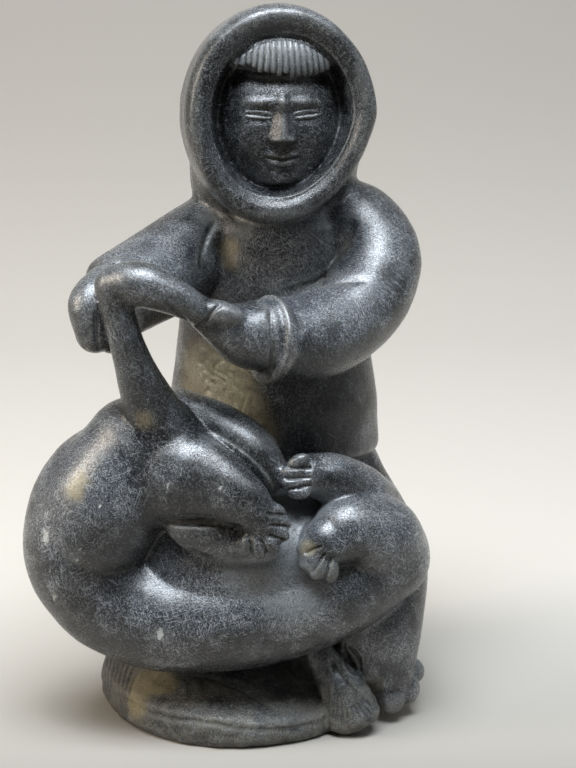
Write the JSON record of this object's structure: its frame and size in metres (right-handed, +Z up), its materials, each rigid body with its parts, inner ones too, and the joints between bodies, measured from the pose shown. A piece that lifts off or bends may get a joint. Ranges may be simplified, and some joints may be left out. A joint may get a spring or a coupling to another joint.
{
  "type": "soapstone sculpture",
  "caption": "Carved dark soapstone sculpture of a hunter in a hooded parka who stands behind a curled bear and holds its long neck and muzzle, on a low rock base.",
  "frame": {"origin": "middle of the rock base's flat underside", "axes": "+Z up, the hunter faces -Y, and the bear's head is carried on the hunter's right, at -X"},
  "size_m": [0.1732, 0.1303, 0.3085],
  "materials": {
    "soapstone": null
  },
  "bodies": {
    "root": {"hunter_and_bear_carving": "soapstone"}
  },
  "joints": []
}
